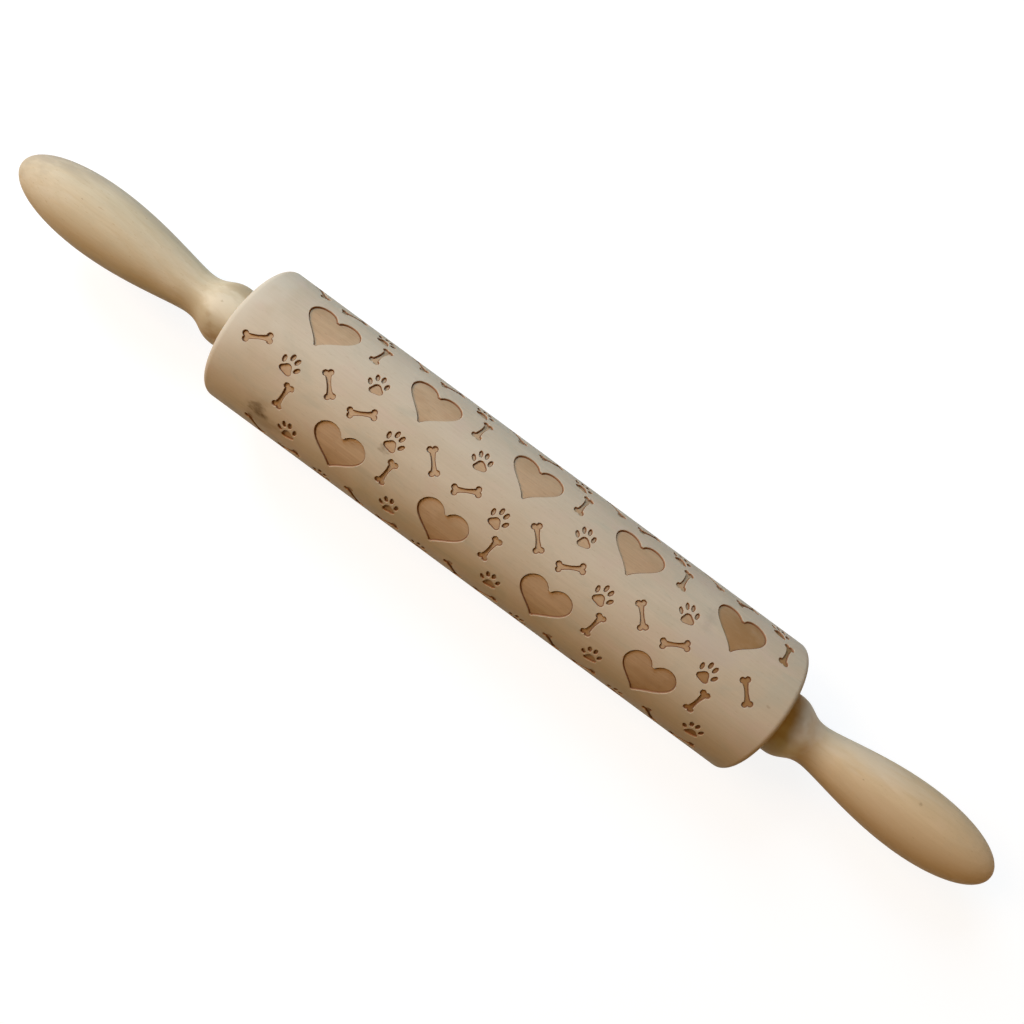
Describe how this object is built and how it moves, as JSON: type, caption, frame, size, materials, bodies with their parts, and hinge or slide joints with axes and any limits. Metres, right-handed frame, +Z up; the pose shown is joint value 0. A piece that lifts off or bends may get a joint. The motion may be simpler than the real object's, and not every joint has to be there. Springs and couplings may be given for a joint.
{
  "type": "embossed rolling pin",
  "caption": "Wooden rolling pin with a pattern engraved all over its barrel, which turns on a steel axle between two turned, tapered handles with bead collars.",
  "frame": {"origin": "on the surface that the barrel lies on, under the middle of the barrel", "axes": "+X along the axle from the left handle to the right one, +Z up, the axle's line 27.5 mm above the origin"},
  "size_m": [0.441, 0.055, 0.055],
  "materials": {
    "barrel_wood": "smooth unvarnished beech, the engraving light brown with scorched edges",
    "handle_wood": "smooth turned yellowish wood",
    "axle_steel": "drawn bright steel rod",
    "washer_steel": "zinc-plated steel",
    "bush_nylon": "natural nylon",
    "insert_brass": "turned brass"
  },
  "bodies": {
    "handles": {"axle_rod": "axle_steel", "left_handle": "handle_wood", "right_handle": "handle_wood", "left_threaded_insert": "insert_brass", "right_threaded_insert": "insert_brass", "left_thrust_washer": "washer_steel", "right_thrust_washer": "washer_steel"},
    "barrel": {"barrel": "barrel_wood", "left_bearing_bush": "bush_nylon", "right_bearing_bush": "bush_nylon"}
  },
  "joints": [
    {"name": "barrel_spin", "type": "hinge", "parent": "handles", "child": "barrel", "pos_m": [0, 0, 0.0275], "axis": [1, 0, 0], "continuous": true}
  ]
}
